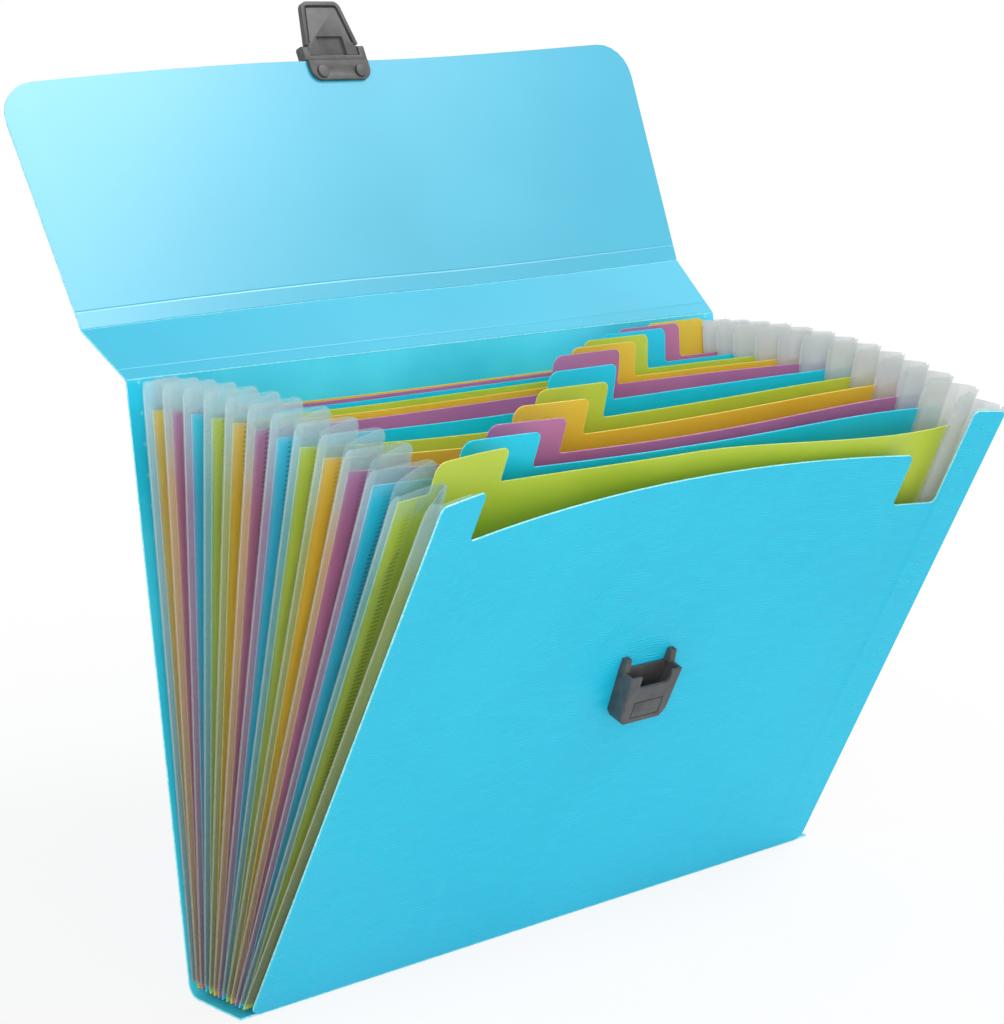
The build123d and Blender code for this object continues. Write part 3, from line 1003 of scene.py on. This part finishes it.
clasp_pieces = (
    ("latch_outer_plate", "latch_bracket", "flap", 0.25 * mm),
    ("latch_inner_plate", "latch_plate", "flap", 0.15 * mm),
    ("latch_rivets", "latch_studs", "flap", 0.45 * mm),
    ("latch_hinge_pin", "latch_pin", "flap", 0.15 * mm),
    ("latch_tongue", "latch_lever", "tongue", 0.18 * mm),
    ("catch_body", "catch_pocket", "front", 0.22 * mm),
    ("catch_backing_plate", "catch_backing", "front", 0.15 * mm),
    ("catch_rivets", "catch_studs", "front", 0.15 * mm),
)
for node, name, body, width in clasp_pieces:
    settle(softened(node, name, width), body, "clasp_grey", node)

# Camera at the photograph's angle
camera_place = (-0.7963, -0.7529, 0.4110)
camera_azimuth = -45.71
camera_elevation = 12.56
camera_roll = 2.52
focal_pixels = 2816.5
image_height = 1024
camera_data = bpy.data.cameras.new("camera")
camera_data.sensor_width = 36
camera_data.lens = focal_pixels * camera_data.sensor_width / image_height
camera = bpy.data.objects.new("camera", camera_data)
bpy.context.scene.collection.objects.link(camera)
aim = Euler((radians(90 - camera_elevation), 0, radians(camera_azimuth))).to_matrix()
roll = Matrix.Rotation(radians(camera_roll), 3, "Z")
camera.matrix_world = Matrix.Translation(camera_place) @ (aim @ roll).to_4x4()
bpy.context.scene.camera = camera


# Studio: white floor and surround, a soft lamp high at the right, a broad one at the left, light all round
def softbox(name, place, target, size, power):
    """A square soft lamp that points at a target."""
    data = bpy.data.lights.new(name, "AREA")
    data.size = size
    data.energy = power
    lamp = bpy.data.objects.new(name, data)
    lamp.location = place
    lamp.rotation_euler = (Vector(target) - Vector(place)).to_track_quat("-Z", "Y").to_euler()
    bpy.context.scene.collection.objects.link(lamp)


def backdrop_rays(start):
    """1 for rays that should meet a white backdrop: those of the camera, of gloss and of clear pieces."""
    rays = start.node("ShaderNodeLightPath")
    seen = rays.math("MAXIMUM", rays.other("Is Camera Ray"), rays.other("Is Glossy Ray"))
    return rays.math("MAXIMUM", seen, rays.other("Is Transmission Ray"))


softbox("lamp_high", place=(1.05, -0.62, 2.0), target=(-0.1, 0.15, 0.3), size=0.7, power=22)
softbox("lamp_left", place=(-1.45, -1.35, 0.55), target=(-0.1, 0, 0.15), size=1.2, power=17)

# The floor shows a faint shadow near the folder and fades to white further out, in metres
floor_size = 8
floor_veil = 0.85
shadow_zone = (0.25, 0.6)
floor_deep = (0.86, 0.86, 0.86, 1)
floor_pale = (0.88, 0.88, 0.88, 1)
white = (1, 1, 1, 1)
floor_white, floor_start, floor_shader = new_finish("floor_white", Roughness=0.9, Specular_IOR_Level=0.0)
feed(floor_shader, "Base Color", cloud(floor_start, 3.0).tint(floor_deep, floor_pale))
floor_place = floor_start.node("ShaderNodeTexCoord", output="Object")
distance = floor_start.node("ShaderNodeVectorMath", {"operation": "LENGTH"}, {0: floor_place}, "Value")
glow = floor_start.node("ShaderNodeEmission", None, {"Color": white, "Strength": 1.0})
white_share = backdrop_rays(floor_start) * (floor_veil + distance.band(*shadow_zone) * (1 - floor_veil))
lit_floor = Value(floor_white.node_tree, floor_shader.outputs["BSDF"])
mixed = floor_start.node("ShaderNodeMixShader", None, {0: white_share, 1: lit_floor, 2: glow})
floor_output = floor_white.node_tree.nodes["Material Output"]
floor_white.node_tree.links.new(mixed.socket, floor_output.inputs["Surface"])
bpy.ops.object.select_all(action="DESELECT")
bpy.ops.mesh.primitive_plane_add(size=floor_size, location=(0, 0, 0))
floor = bpy.context.object
floor.name = "floor"
floor.data.materials.append(floor_white)

# Light from all round, dimmer than the white that the camera sees
ambient = 0.66
world = bpy.data.worlds.new("world")
bpy.context.scene.world = world
world.use_nodes = True
background = world.node_tree.nodes["Background"]
background.inputs["Color"].default_value = white
feed(background, "Strength", ambient + backdrop_rays(Value(world.node_tree)) * (1 - ambient))
bpy.context.scene.view_settings.view_transform = "Standard"
